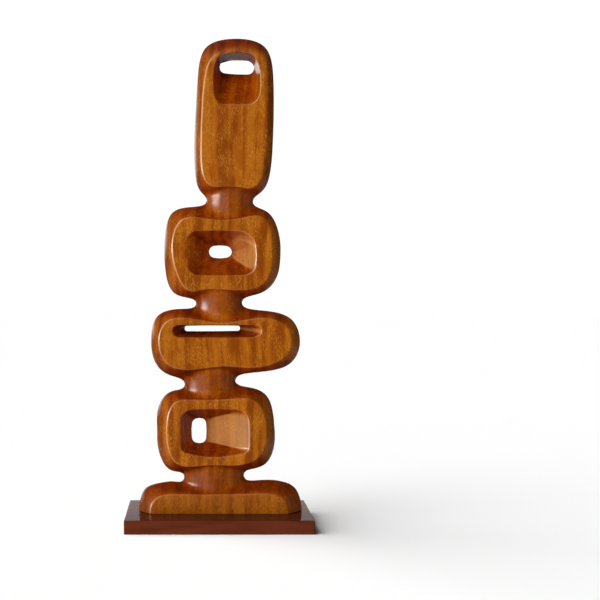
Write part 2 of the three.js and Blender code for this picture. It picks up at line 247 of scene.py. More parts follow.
class Path:
    """Curve read by the share of its length, with unit tangents."""

    def __init__(self, points):
        self.points = points
        steps = np.linalg.norm(np.diff(points, axis=0), axis=1)
        self.lengths = np.concatenate([[0], np.cumsum(steps)])
        self.length = self.lengths[-1]
        slopes = np.gradient(points, axis=0)
        self.tangents = slopes / np.linalg.norm(slopes, axis=1)[:, None]

    def at(self, shares):
        reach = np.asarray(shares) * self.length
        return np.stack([np.interp(reach, self.lengths, self.points[:, k]) for k in (0, 1)], -1)

    def tangent_at(self, shares):
        reach = np.asarray(shares) * self.length
        tangent = np.stack([np.interp(reach, self.lengths, self.tangents[:, k]) for k in (0, 1)], -1)
        return tangent / np.linalg.norm(tangent, axis=-1, keepdims=True)

    def nearest(self, place):
        index = np.argmin(np.linalg.norm(self.points - np.array(place, float), axis=1))
        return self.lengths[index] / self.length


def smoothstep(value):
    value = np.clip(value, 0, 1)
    return value * value * (3 - 2 * value)


def in_space(points, depth=0.0):
    """Points of the X-Z plane put at a depth."""
    return np.stack([points[..., 0], np.full(points.shape[:-1], depth), points[..., 1]], -1)


def side_path(form, side):
    """Outline of one side of a form, from its lower end to its upper end."""
    away = -1 if side == "left" else 1
    if "ground" in form:
        start = (form["ground"][0 if side == "left" else 1], FOOT_TOP)
    else:
        start = form["lower_neck"][side]
    control = [start, (start[0], start[1] + WAIST_GRIP)] + list(form[side])
    if "crown" in form:
        end = form["crown"]
        control += [(end[0] + away * CROWN_GRIP, end[1]), end]
    else:
        end = form["upper_neck"][side]
        control += [(end[0], end[1] - WAIST_GRIP), end]
    return Path(bspline(control))


def side_ends(form, side, count):
    """End points, arrival directions and blends of the columns along one side."""
    path = side_path(form, side)
    shares = np.linspace(0, 1, count + 1)
    if side == "right":
        shares = shares[::-1]
    ends = in_space(path.at(shares))
    along = in_space(path.tangent_at(shares))
    far = np.full(len(shares), FAR_AWAY)
    to_lower = shares * path.length / CORNER_BLEND if "lower_neck" in form else far
    to_upper = (1 - shares) * path.length / CORNER_BLEND if "upper_neck" in form else far
    near_lower = to_lower < to_upper
    along[near_lower] *= -1
    blend = 0.5 * (1 - smoothstep(np.minimum(to_lower, to_upper)))
    turn = (blend * math.pi / 2)[:, None]
    arrival = np.cos(turn) * np.array([0, 1.0, 0]) + np.sin(turn) * along
    return ends, arrival, blend, near_lower


def neck_ends(neck, is_upper, count):
    """The same for the columns that end on the front half of a neck's waist."""
    shares = np.linspace(0, 1, count + 1)
    if not is_upper:
        shares = shares[::-1]
    left = np.array([neck["left"][0], 0, neck["left"][1]], float)
    right = np.array([neck["right"][0], 0, neck["right"][1]], float)
    angle = shares[:, None] * math.pi
    ends = left + (right - left) * (1 - np.cos(angle)) / 2
    ends[:, 1:2] = -neck["half_depth"] * np.sin(angle)
    ends[:, 2:3] -= neck["sag"] * np.sin(angle)
    half_width = (right[0] - left[0]) / 2
    around = np.concatenate(
        [half_width * np.sin(angle), -neck["half_depth"] * np.cos(angle), 0 * angle], axis=1)
    around /= np.linalg.norm(around, axis=1)[:, None]
    around[shares < 0.5] *= -1
    closeness = 1 - smoothstep(np.minimum(shares, 1 - shares) / NECK_END_SHARE)
    turn = (closeness * NECK_END_TURN)[:, None]
    up = np.array([0, 0, 1.0 if is_upper else -1.0])
    arrival = np.cos(turn) * up + np.sin(turn) * around
    near_lower = np.full(len(shares), not is_upper)
    return ends, arrival, 1 - closeness / 2, near_lower


def arris_stretch(path, start, stop, count):
    """Places and tangents along a stretch of the arris, which may pass its seam."""
    if stop < start:
        stop += 1
    shares = np.linspace(start, stop, count + 1)
    shares = np.where(shares > 1, shares - 1, shares)
    return path.at(shares), path.tangent_at(shares)


def bezier(p0, p1, p2, p3, t):
    """One point on each of many cubic curves."""
    s = 1 - t
    return s**3 * p0 + 3 * s**2 * t * p1 + 3 * s * t**2 * p2 + t**3 * p3


def form_columns(form, closed):
    """Where each column of a form leaves the arris and where it ends, clockwise around the form."""
    arris = Path(bspline(form["arris"], closed))
    upper_left = form.get("crown") or form["upper_neck"]["left"]
    upper_right = form.get("crown") or form["upper_neck"]["right"]
    corner_a = arris.nearest(form["lower_neck"]["left"]) if closed else 0.0
    corner_b = arris.nearest(upper_left)
    corner_c = arris.nearest(upper_right)
    corner_d = arris.nearest(form["lower_neck"]["right"]) if closed else 1.0
    count = HEAD_STEPS if "crown" in form else SIDE_STEPS if closed else BASE_STEPS
    parts = [(arris_stretch(arris, corner_a, corner_b, count), side_ends(form, "left", count))]
    if "upper_neck" in form:
        parts.append((arris_stretch(arris, corner_b, corner_c, NECK_STEPS),
                      neck_ends(form["upper_neck"], True, NECK_STEPS)))
    parts.append((arris_stretch(arris, corner_c, corner_d, count), side_ends(form, "right", count)))
    if "lower_neck" in form:
        parts.append((arris_stretch(arris, corner_d, corner_a, NECK_STEPS),
                      neck_ends(form["lower_neck"], False, NECK_STEPS)))
    stretches = []
    for index, (at_arris, at_end) in enumerate(parts):
        shared = 0 if index == 0 else 1
        stretches.append([values[shared:] for values in (*at_arris, *at_end)])
    columns = [np.concatenate(values) for values in zip(*stretches)]
    return [values[:-1] for values in columns] if closed else columns


def form_rows(form):
    """Rows of points from the flat face over the arris to the outline, clockwise."""
    closed = "ground" not in form
    points, tangents, ends, arrival, blend, near_lower = form_columns(form, closed)
    start = in_space(points, -HALF)
    outwards = in_space(np.stack([-tangents[:, 1], tangents[:, 0]], -1))
    cove = np.where(near_lower[:, None], np.array(COVE_BELOW), np.array(COVE_ABOVE))
    shape = np.array(SIDE_ROUND) + (cove - np.array(SIDE_ROUND)) * blend[:, None]
    slope = np.radians(shape[:, 0:1])
    departure = outwards * np.cos(slope) + np.array([0, 1.0, 0]) * np.sin(slope)
    way = ends - start
    leaving = shape[:, 1:2] * np.sum(way * departure, axis=1)[:, None]
    arriving = shape[:, 2:3] * np.sum(way * arrival, axis=1)[:, None]
    curve = (start, start + departure * leaving, ends - arrival * arriving, ends)
    low, high = CROWN_HEIGHTS
    near_crown = smoothstep((start[:, 2:3] - low) / (high - low))
    rounding = ARRIS_ROUNDING + (CROWN_ROUNDING - ARRIS_ROUNDING) * near_crown
    eased = np.minimum(rounding / (3 * leaving), ROUNDING_LIMIT)
    inset = start - outwards * rounding
    rows = [start - outwards * (rounding + HOLDING), inset]
    rows += rounded(inset, start, bezier(*curve, eased))
    rows += [bezier(*curve, eased + (1 - eased) * k / BAND_ROWS) for k in range(BAND_ROWS + 1)]
    return np.array(rows), closed


def corner_points(box):
    left, right, bottom, top = box
    return np.array([(left, top), (right, top), (right, bottom), (left, bottom)], float)


def window_loop(points, corners, bows, depth):
    """Rounded outline at one depth, clockwise, with sides that bow out."""
    angle = np.linspace(0, math.pi / 2, WINDOW_CORNER_STEPS + 1)[:, None]
    arcs = []
    for corner, place in enumerate(points):
        back = points[(corner + 3) % 4] - place
        ahead = points[(corner + 1) % 4] - place
        width, height = corners[corner]
        back_reach, ahead_reach = (width, height) if corner % 2 else (height, width)
        arcs.append(
            place + back / np.linalg.norm(back) * back_reach * (1 - np.sin(angle))
            + ahead / np.linalg.norm(ahead) * ahead_reach * (1 - np.cos(angle)))
    loop = []
    for corner in range(4):
        loop.append(arcs[corner])
        start, end = arcs[corner][-1], arcs[(corner + 1) % 4][0]
        share = np.linspace(0, 1, WINDOW_EDGE_STEPS + 1)[1:-1, None]
        outwards = np.array([start[1] - end[1], end[0] - start[0]])
        outwards = outwards / max(np.linalg.norm(outwards), TINY)
        bow = 4 * bows[corner] * share * (1 - share)
        loop.append(start + (end - start) * share + bow * outwards)
    return in_space(np.concatenate(loop), depth)


def normals_in_plane(loop):
    """Outward directions of a clockwise loop, within the X-Z plane."""
    ahead = np.roll(loop, -1, axis=0) - np.roll(loop, 1, axis=0)
    normal = np.stack([-ahead[:, 2], 0 * ahead[:, 0], ahead[:, 0]], -1)
    return normal / np.linalg.norm(normal, axis=1)[:, None]


def rounded(before, corner, after, rows=3):
    """Rows of a rounded edge between two rows of points, steered by the corner row."""
    shares = np.arange(1, rows + 1) / (rows + 1)
    return [(1 - t)**2 * before + 2 * (1 - t) * t * corner + t**2 * after for t in shares]


def towards(origin, target, distance):
    step = target - origin
    return origin + step / np.linalg.norm(step, axis=1)[:, None] * distance


def outline_between(window, share):
    """Corner points, roundings and bows of the outline on the way from the rim to the throat."""
    box, corners, bows = (
        np.array(rim) * (1 - share) + np.array(throat) * share
        for rim, throat in zip(window["rim"], window["throat"]))
    middle = math.sin(math.pi * share)
    points = corner_points(box) + np.array(window["strays"]) * middle
    points[:, 1] += np.array(window["lifts"]) * share
    corners = corners * (1 - window["creasing"] * middle)
    return points, corners, bows + np.array(window["swells"]) * middle


def window_rows(window):
    """Rows of points from the front face through the throat to the back face."""
    way = THROAT_SHARE * PLANK

    def level(share):
        return window_loop(*outline_between(window, share), share * way - HALF)

    box, corners, bows = window["back"]
    back = window_loop(corner_points(box), corners, bows, HALF)
    rim, throat = level(0), level(1)
    rim_out = rim + normals_in_plane(rim) * RIM_ROUNDING
    back_out = back + normals_in_plane(back) * RIM_ROUNDING
    edge, narrow = RIM_ROUNDING / way, THROAT_ROUNDING / way
    throat_back = towards(throat, back, THROAT_ROUNDING)
    back_in = towards(back, throat, RIM_ROUNDING)
    rows = [rim + normals_in_plane(rim) * (RIM_ROUNDING + HOLDING), rim_out]
    rows += rounded(rim_out, rim, level(edge))
    rows += [level(edge + (1 - edge - narrow) * k / WALL_ROWS) for k in range(WALL_ROWS + 1)]
    rows += rounded(level(1 - narrow), throat, throat_back)
    rows += [throat_back + (back_in - throat_back) * k / BACK_ROWS for k in range(BACK_ROWS + 1)]
    rows += rounded(back_in, back, back_out)
    rows += [back_out, back + normals_in_plane(back) * (RIM_ROUNDING + HOLDING)]
    return np.array(rows)


class Solid:
    """Collects points and faces; joined into one mesh at the end."""

    def __init__(self):
        self.points = []
        self.faces = []
        self.count = 0

    def add_points(self, points):
        first = self.count
        self.points.append(points)
        self.count += len(points)
        return first

    def add_rows(self, rows, closed, flip=False):
        row_count, width = rows.shape[:2]
        first = self.add_points(rows.reshape(-1, 3))
        last = width if closed else width - 1
        for j in range(row_count - 1):
            for i in range(last):
                k = (i + 1) % width
                a, b = first + j * width + i, first + j * width + k
                c, d = b + width, a + width
                self.faces.append((a, d, c, b) if flip else (a, b, c, d))

    def add_flat(self, loops, to_plane, to_space, faces_front):
        """Flat region inside the first loop and outside the others, on a fine grid."""
        flat = [[to_plane(p) for p in loop] for loop in loops]
        points = [Vector(p) for loop in flat for p in loop]
        edges = []
        start = 0
        for loop in flat:
            edges += [(start + i, start + (i + 1) % len(loop)) for i in range(len(loop))]
            start += len(loop)
        outer = np.array(flat[0])
        low, high = outer.min(axis=0), outer.max(axis=0)
        for x in np.arange(low[0] + FACE_GRID / 2, high[0], FACE_GRID):
            for z in np.arange(low[1] + FACE_GRID / 2, high[1], FACE_GRID):
                if clear_of(flat, (x, z), GRID_CLEARANCE):
                    points.append(Vector((x, z)))
        result = delaunay_2d_cdt(points, edges, [], 0, MESH_TOLERANCE)
        verts, triangles = result[0], result[2]
        first = self.add_points(np.array([to_space(v) for v in verts]))
        for triangle in triangles:
            a, b, c = (verts[i] for i in triangle)
            centre = (a + b + c) / 3
            if not inside(flat, centre):
                continue
            area = (b - a).cross(c - a)
            order = triangle if (area > 0) == faces_front else triangle[::-1]
            self.faces.append(tuple(first + i for i in order))


def inside(loops, place):
    """True inside the first loop and outside the others."""
    return winding(loops[0], place) and not any(winding(loop, place) for loop in loops[1:])


def winding(loop, place):
    """True where a place lies inside a loop."""
    loop = np.array(loop)
    x, z = place
    a, b = loop, np.roll(loop, -1, axis=0)
    crosses = (a[:, 1] > z) != (b[:, 1] > z)
    with np.errstate(divide="ignore", invalid="ignore"):
        at = a[:, 0] + (z - a[:, 1]) / (b[:, 1] - a[:, 1]) * (b[:, 0] - a[:, 0])
    return bool(np.count_nonzero(crosses & (at > x)) % 2)


def clear_of(loops, place, distance):
    if not inside(loops, place):
        return False
    for loop in loops:
        if np.min(np.linalg.norm(np.array(loop) - np.array(place), axis=1)) < distance:
            return False
    return True


def mirror(rows):
    return rows * np.array([1, -1, 1])


def front_plane(point):
    return (point[0], point[2])


def top_plane(point):
    return (point[0], point[1])


def foot_rows(foot):
    """Rows that round the lowest edge of the base in, down to the board."""
    ahead = np.roll(foot, -1, axis=0) - np.roll(foot, 1, axis=0)
    inwards = np.stack([-ahead[:, 1], ahead[:, 0], 0 * ahead[:, 0]], -1)
    inwards /= np.linalg.norm(inwards, axis=1)[:, None]
    centre = foot.mean(axis=0)
    inwards *= np.sign(np.sum(inwards * (centre - foot)))
    rows = []
    for angle in np.linspace(0, math.pi / 2, FOOT_ROWS):
        step = inwards * (1 - math.cos(angle)) - np.array([0, 0, math.sin(angle)])
        rows.append(foot + step * FOOT_ROUNDING)
    return np.array(rows)


def add_form(solid, form):
    rows, closed = form_rows(form)
    solid.add_rows(rows, closed)
    solid.add_rows(mirror(rows), closed, flip=True)
    front_loops, back_loops = [rows[0]], [mirror(rows[0])]
    if "window" in form:
        loops = window_rows(form["window"])
        solid.add_rows(loops, True, flip=True)
        front_loops.append(loops[0])
        back_loops.append(loops[-1])
    solid.add_flat(front_loops, front_plane, lambda v: (v[0], -HALF, v[1]), True)
    solid.add_flat(back_loops, front_plane, lambda v: (v[0], HALF, v[1]), False)
    if not closed:
        left, right = rows[:, 0], rows[:, -1]
        foot = np.concatenate([left, mirror(left[:-1])[::-1], mirror(right[:-1]), right[::-1]])
        lowest = foot_rows(foot)
        solid.add_rows(lowest, True)
        solid.add_flat([lowest[-1]], top_plane, lambda v: (v[0], v[1], BOARD_HEIGHT), False)


def to_object(solid, name):
    mesh = bpy.data.meshes.new(name)
    mesh.from_pydata((np.concatenate(solid.points) * MM).tolist(), [], solid.faces)
    work = bmesh.new()
    work.from_mesh(mesh)
    bmesh.ops.remove_doubles(work, verts=work.verts, dist=MERGE_METRES)
    bmesh.ops.dissolve_degenerate(work, dist=SLIVER_METRES, edges=work.edges)
    work.to_mesh(mesh)
    work.free()
    mesh.shade_smooth()
    mesh.set_sharp_from_angle(angle=math.radians(SHARP_DEGREES))
    piece = bpy.data.objects.new(name, mesh)
    bpy.context.scene.collection.objects.link(piece)
    return piece


def make_totem(material):
    solid = Solid()
    for form in FORMS:
        add_form(solid, form)
    piece = to_object(solid, "carved_totem")
    piece.data.materials.append(material)
    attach(piece, "root")
    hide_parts("totem")
    return piece


def make_plinth(material):
    """Thin board with eased edges."""
    outline = []
    half_width, half_depth = BOARD_WIDTH / 2 - BOARD_CORNER, BOARD_DEPTH / 2 - BOARD_CORNER
    for corner, (x, y) in enumerate(((1, 1), (-1, 1), (-1, -1), (1, -1))):
        for k in range(BOARD_CORNER_STEPS + 1):
            angle = (corner + k / BOARD_CORNER_STEPS) * math.pi / 2
            outline.append((x * half_width + BOARD_CORNER * math.cos(angle),
                            y * half_depth + BOARD_CORNER * math.sin(angle), 0))
    outline = np.array(outline)
    up = np.array([0, 0, 1.0])
    reach = np.array([half_width, half_depth, 1])
    normal = outline - np.clip(outline, -reach, reach)
    normal /= np.linalg.norm(normal, axis=1)[:, None]
    rows = []
    lower = [(angle, BOARD_EASING) for angle in np.linspace(-90, 0, EASING_ROWS)]
    upper = [(angle, BOARD_HEIGHT - BOARD_EASING) for angle in np.linspace(0, 90, EASING_ROWS)]
    for angle, level in lower + upper:
        turn = math.radians(angle)
        rows.append(outline - normal * BOARD_EASING * (1 - math.cos(turn))
                    + up * (level + BOARD_EASING * math.sin(turn)))
    solid = Solid()
    solid.add_rows(np.array(rows), True)
    for row, faces_up in ((rows[0], False), (rows[-1], True)):
        height = row[0][2]
        solid.add_flat([row], top_plane, lambda v: (v[0], v[1], height), faces_up)
    piece = to_object(solid, "plinth_board")
    piece.data.materials.append(material)
    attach(piece, "root")
    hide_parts("plinth")
    return piece


# Materials

class Nodes:
    """Adds linked nodes to a node tree."""

    def __init__(self, tree):
        self.tree = tree

    def add(self, kind, inputs=(), **settings):
        node = self.tree.nodes.new(kind)
        for name, value in settings.items():
            setattr(node, name, value)
        for key, value in dict(inputs).items():
            if isinstance(value, bpy.types.NodeSocket):
                self.tree.links.new(value, node.inputs[key])
            else:
                node.inputs[key].default_value = value
        return node

    def math(self, operation, first, second=0.0, third=0.0):
        node = self.add("ShaderNodeMath", {0: first, 1: second, 2: third}, operation=operation)
        return node.outputs[0]

    def vector(self, operation, first, second=(0, 0, 0)):
        """Result of an operation on vectors, a number for a length or a dot product."""
        node = self.add("ShaderNodeVectorMath", {0: first, 1: second}, operation=operation)
        is_number = operation in ("LENGTH", "DOT_PRODUCT")
        return node.outputs["Value" if is_number else "Vector"]

    def in_sizes(self, vector, sizes):
        """The same vector, measured along each axis in its own size."""
        return self.vector("MULTIPLY", vector, [1 / size for size in sizes])

    def axes(self, vector):
        return self.add("ShaderNodeSeparateXYZ", {0: vector}).outputs

    def product(self, first, *others):
        for other in others:
            first = self.math("MULTIPLY", first, other)
        return first

    def one_less(self, value):
        return self.math("SUBTRACT", 1.0, value)

    def noise(self, vector, detail, roughness=0.5, output="Fac"):
        inputs = {"Vector": vector, "Scale": 1.0, "Detail": detail, "Roughness": roughness}
        return self.add("ShaderNodeTexNoise", inputs).outputs[output]

    def ramp(self, value, stops):
        node = self.add("ShaderNodeValToRGB", {"Fac": value})
        elements = node.color_ramp.elements
        while len(elements) < len(stops):
            elements.new(0.5)
        for element, (position, colour) in zip(elements, stops):
            element.position = position
            element.color = (*colour, 1)
        return node.outputs["Color"]

    def mask(self, measures, steps):
        """Product of smooth steps: each names a measure, its value at 0 and its value at 1."""
        results = []
        for name, zero_at, one_at in steps:
            inputs = {"Value": measures[name], "From Min": zero_at, "From Max": one_at}
            node = self.add("ShaderNodeMapRange", inputs, interpolation_type="SMOOTHSTEP")
            results.append(node.outputs["Result"])
        return self.product(*results)

    def mix(self, colour, share, other, blend="MIX"):
        node = self.add(
            "ShaderNodeMix", {"Factor": share, "A": colour, "B": (*other, 1)},
            data_type="RGBA", blend_type=blend)
        return node.outputs["Result"]

    def tint(self, colour, share, other):
        return self.mix(colour, share, other, "MULTIPLY")


def new_material(name):
    material = bpy.data.materials.new(name)
    material.use_nodes = True
    tree = material.node_tree
    return material, Nodes(tree), tree.nodes["Principled BSDF"]


# Colours of the wood, and of the painted light and shade on it, linear

DARK_WOOD = (0.280, 0.059, 0.0015)
MID_WOOD = (0.405, 0.101, 0.0028)
LIGHT_WOOD = (0.500, 0.143, 0.0055)
GOLD_FLECK = (0.800, 0.330, 0.0300)
# Pale colour of the painted light on the window facets that face left and of the painted sheen on the
# arrises
PAINTED_LIGHT_PALE = (0.950, 0.500, 0.1700)
ARRIS_GLINT = (0.950, 0.580, 0.3400)
END_GRAIN_TINT = (0.86, 0.55, 0.55)
# Painted shade, a little redder, on all surfaces off the flat faces
OFF_FACE_PAINTED_SHADE = (0.97, 0.90, 0.85)
# Darker, redder crown of the head: partly its darker end grain, partly painted shade
CROWN_TINT = (0.68, 0.47, 0.44)
# Painted shade at the waists of the necks between the forms and low on the base, off the flat faces
WAIST_PAINTED_SHADE = (0.80, 0.66, 0.60)
# Painted shade over the painted light on the far right of the lower window's facet
FAR_FACET_PAINTED_SHADE = (0.80, 0.86, 1.0)
# Painted light on the left walls of the windows, which face right, standing for light bounced into them
LEFT_WALL_PAINTED_LIGHT = (1.45, 1.35, 0.90)
# Painted shade on the undersides below the lower arrises of the lower forms
UNDERCUT_PAINTED_SHADE = (0.70, 0.64, 0.62)
# Painted shade on the right side of the lower form
RIGHT_SIDE_PAINTED_SHADE = (0.86, 0.86, 0.88)

# Figure of the wood, in millimetres. PITH is the middle of the growth rings. Sizes are across the
# rings, up, and for the pores also through the plank, or along the three axes.

PITH = (-589.0, 60.0, 0.0)
HORIZONTAL = (1, 1, 0)
RIBBON_SIZE = (11.0, 230.0)
STREAK_SIZE = (2.6, 75.0)
STREAK_SLICE = 5.0
PORE_SIZE = (0.9, 3.6, 3.0)
PORE_LEAN = 0.18
MOTTLE_SIZE = (14, 14, 26)
DRIFT_SIZE = (70, 70, 160)
DRIFT_REACH = (26, 26, 0)
BANDING = (("ribbon", 0.32, 0.68),)
BANDING_SHARE = 0.32
MOTTLE_SHARE = 0.34
STREAK_SHARE = 0.34
MID_TONE = 0.5
WAIST_EVENING = 0.35
TONES = ((0.34, DARK_WOOD), (MID_TONE, MID_WOOD), (0.66, LIGHT_WOOD))
DARK_PORES = (("pore", 0.42, 0.32),)
DARK_PORE_SHARE = 0.46
GOLD = (("pore", 0.51, 0.63), ("mottle", 0.38, 0.56))
GOLD_SHARE = 0.40

# Places where the colour or the gloss changes, as steps for Nodes.mask; many of them place painted light
# and shade. Height, sideways and depth are in millimetres, and depth counts from the plank's middle to
# both faces. Right and up are parts of the surface's normal, level is the size of its upward part, and
# facing is how far it turns to the direction below, that of the window facets given painted light.

PAINTED_LIGHT_FACING = (-0.76, -0.65, 0)
ON_BASE = (("height", 95.0, 60.0),)
NEAR_WAIST = (("distance", 24.0, 8.0),)
OFF_FACE = (("depth", HALF - 0.4, HALF - 9.0),)
CROWN = (("height", 672.0, 688.0),)
DULL_CROWN = (("height", 662.0, 680.0), ("up", -0.1, 0.1))
# Painted light on the window facets that face left and on the top right of the upper window
RIGHT_FACETS = (("facing", 0.78, 0.98), ("height", 560.0, 520.0), ("sideways", -19.0, -10.0))
UPPER_WINDOW_TOP_RIGHT = (
    ("up", -0.2, -0.6), ("sideways", 10.0, 26.0), ("height", 384.0, 398.0), ("height", 430.0, 426.0))
FACET_SHARE = 0.29
# More painted light on these facets nearer the left
LEFTWARDS = (("sideways", 14.0, -10.0),)
LEFTWARDS_SHARE = 0.12
# Far right of the lower window's facet, given painted shade
LOWER_WINDOW_RIGHT = (("sideways", 4.0, 30.0), ("height", 220.0, 190.0))
ARRIS = (("depth", 36.2, 36.9), ("depth", 37.98, 37.6))
# Painted sheen along the arrises, strongest where they face left
PAINTED_EDGE_SHEEN = (("right", 0.30, -0.10),)
PAINTED_EDGE_SHEEN_SHARE = 0.22
GLINT = (("right", -0.05, -0.35), ("up", -0.30, -0.04), ("height", -150.0, 480.0))
GLINT_SHARE = 0.40
# Left walls of the windows, given painted light
LEFT_WALLS = (("right", 0.2, 0.6), ("sideways", 10.0, 2.0))
# Downward-facing surfaces low on the totem, outside the heights of the lower window, get painted shade
BELOW_LOWER_WINDOW = (("height", 104.0, 100.0),)
ABOVE_LOWER_WINDOW = (("height", 200.0, 206.0),)
UNDERCUT = (("height", 240.0, 236.0), ("up", -0.30, -0.80))
# Right side of the lower form, given painted shade
LOWER_RIGHT_SIDE = (("height", 205.0, 190.0), ("height", 75.0, 95.0), ("sideways", 38.0, 58.0))
END_GRAIN = (("level", 0.05, 1.0),)
BELOW_CROWN = (("height", 660.0, 630.0),)

# Gloss and relief of the lacquer. The relief's distance is in metres.

ROUGHNESS = 0.18
MOTTLE_ROUGHNESS = 0.08
WAIST_ROUGHNESS = 0.06
CROWN_ROUGHNESS = 0.25
SPECULAR = 0.5
PORE_DENT = 0.6
RELIEF = {"Strength": 0.08, "Distance": 0.0006}


def near_waists(nodes, height):
    """1 at the waists of the necks and on the base, fading to 0 on the other forms."""
    shade = nodes.mask({"height": height}, ON_BASE)
    for neck in (UNDER_HEAD, UNDER_UPPER, UNDER_BAR, UNDER_LOWER):
        middle = (neck["left"][1] + neck["right"][1]) / 2
        distance = nodes.math("ABSOLUTE", nodes.math("SUBTRACT", height, middle))
        shade = nodes.math("MAXIMUM", shade, nodes.mask({"distance": distance}, NEAR_WAIST))
    return shade


def wood_figure(nodes, place, height):
    """Tone of the wood from its ribbons, streaks and mottling, and the mottling and pores alone."""
    drift = nodes.noise(nodes.in_sizes(place, DRIFT_SIZE), detail=1.0, output="Color")
    drift = nodes.vector("SUBTRACT", drift, (0.5, 0.5, 0.5))
    bent = nodes.vector("ADD", place, nodes.vector("MULTIPLY", drift, DRIFT_REACH))
    from_pith = nodes.vector("MULTIPLY", nodes.vector("SUBTRACT", bent, PITH), HORIZONTAL)
    across = nodes.vector("LENGTH", from_pith)

    def on_rings(sideways, sizes, slice_place=0.0):
        return nodes.add("ShaderNodeCombineXYZ", {
            "X": nodes.math("DIVIDE", sideways, sizes[0]),
            "Y": nodes.math("DIVIDE", height, sizes[1]),
            "Z": slice_place,
        }).outputs[0]

    ribbon = nodes.noise(on_rings(across, RIBBON_SIZE), detail=1.0)
    streak = nodes.noise(on_rings(across, STREAK_SIZE, STREAK_SLICE), detail=2.0)
    mottle = nodes.noise(nodes.in_sizes(bent, MOTTLE_SIZE), detail=3.0, roughness=0.6)
    leaning = nodes.math("MULTIPLY_ADD", height, PORE_LEAN, across)
    through = nodes.math("DIVIDE", nodes.axes(bent)["Y"], PORE_SIZE[2])
    pore = nodes.noise(on_rings(leaning, PORE_SIZE, through), detail=1.0)
    banding = nodes.product(nodes.mask({"ribbon": ribbon}, BANDING), BANDING_SHARE)
    tone = nodes.math("MULTIPLY_ADD", mottle, MOTTLE_SHARE, banding)
    tone = nodes.math("MULTIPLY_ADD", streak, STREAK_SHARE, tone)
    return tone, mottle, pore


